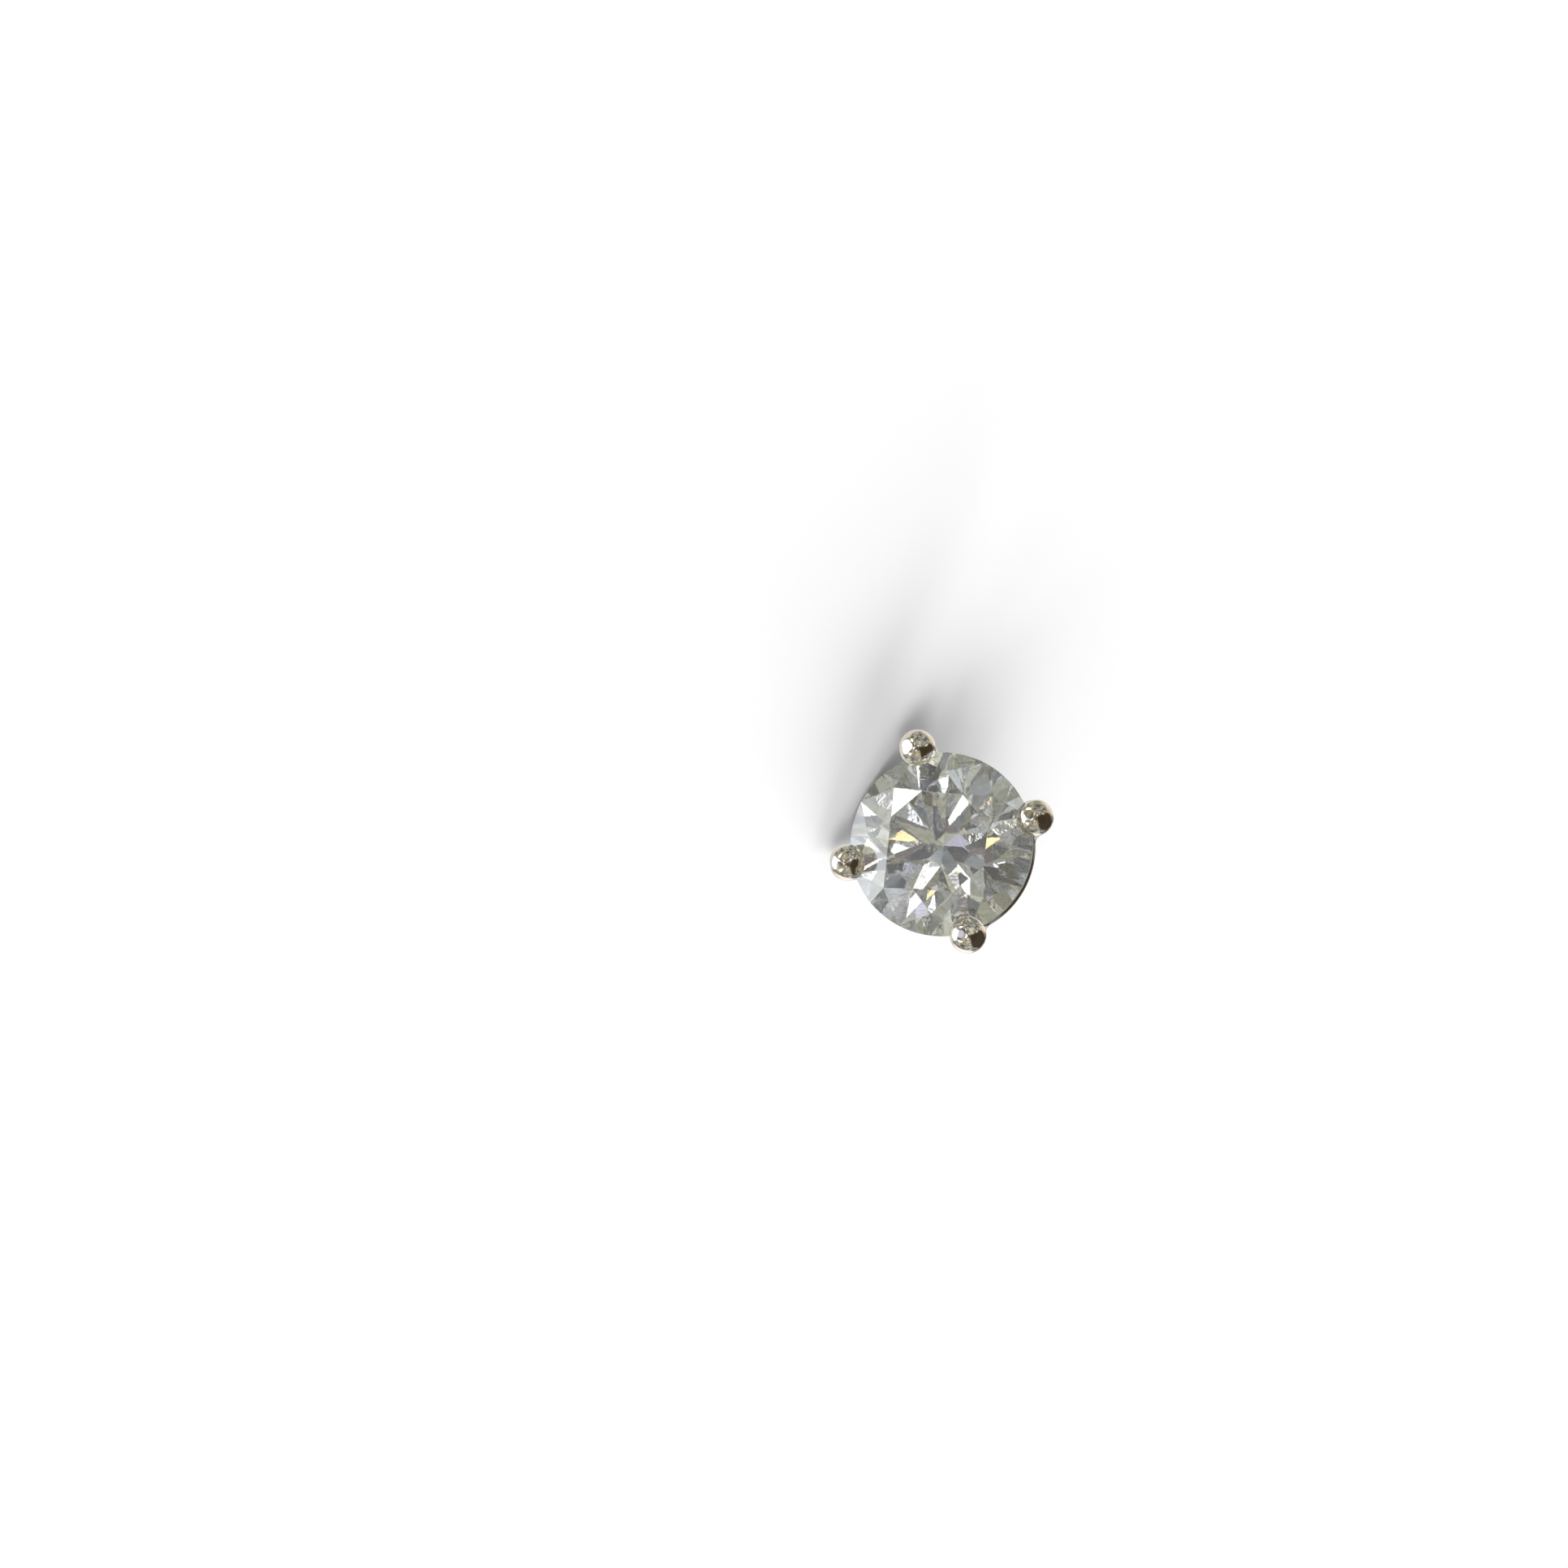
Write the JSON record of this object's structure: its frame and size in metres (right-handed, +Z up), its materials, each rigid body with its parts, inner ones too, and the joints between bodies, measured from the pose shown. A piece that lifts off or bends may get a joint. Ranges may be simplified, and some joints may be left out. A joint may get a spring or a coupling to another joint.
{
  "type": "stud earring",
  "caption": "Solitaire stud earring: a round brilliant held by four prongs in an open basket, on a straight notched post, without its friction back.",
  "frame": {"origin": "middle of the bounding box's underside, on the surface that the earring lies on", "axes": "+Z up; +Y along the post from the stone to the post's tip, so the stone's table faces -Y and a little upwards; +X across"},
  "size_m": [0.0044, 0.0132, 0.0045],
  "materials": {
    "white_gold": "polished",
    "diamond": "polished"
  },
  "bodies": {
    "root": {"basket_and_post": "white_gold", "round_brilliant": "diamond"}
  },
  "joints": []
}
